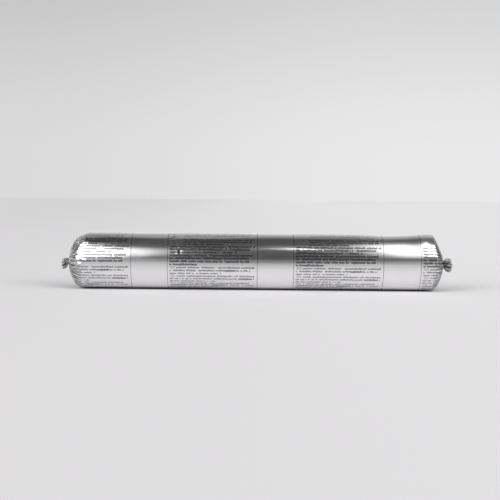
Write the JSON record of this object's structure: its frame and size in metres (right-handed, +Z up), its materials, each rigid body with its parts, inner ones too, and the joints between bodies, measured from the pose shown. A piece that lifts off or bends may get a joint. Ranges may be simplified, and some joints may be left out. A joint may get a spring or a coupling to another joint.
{
  "type": "foil sausage pack of sealant",
  "caption": "Filled foil sausage pack of joint sealant: a round film tube with a back seam, pleated at both blunt ends and closed by a crimped wire clip with a flared tail.",
  "frame": {"origin": "bottom centre of the pack's box, on the surface that it lies on", "axes": "+X along the pack from the left end to the right end, +Y away from the viewer towards the back seam, +Z up"},
  "size_m": [0.34, 0.0494, 0.0493],
  "materials": {
    "foil_film": "glossy aluminium laminate film with pale grey greeked print",
    "clip_wire": "satin drawn aluminium wire"
  },
  "bodies": {
    "root": {"film_pack": "foil_film", "left_clip": "clip_wire", "right_clip": "clip_wire"}
  },
  "joints": []
}
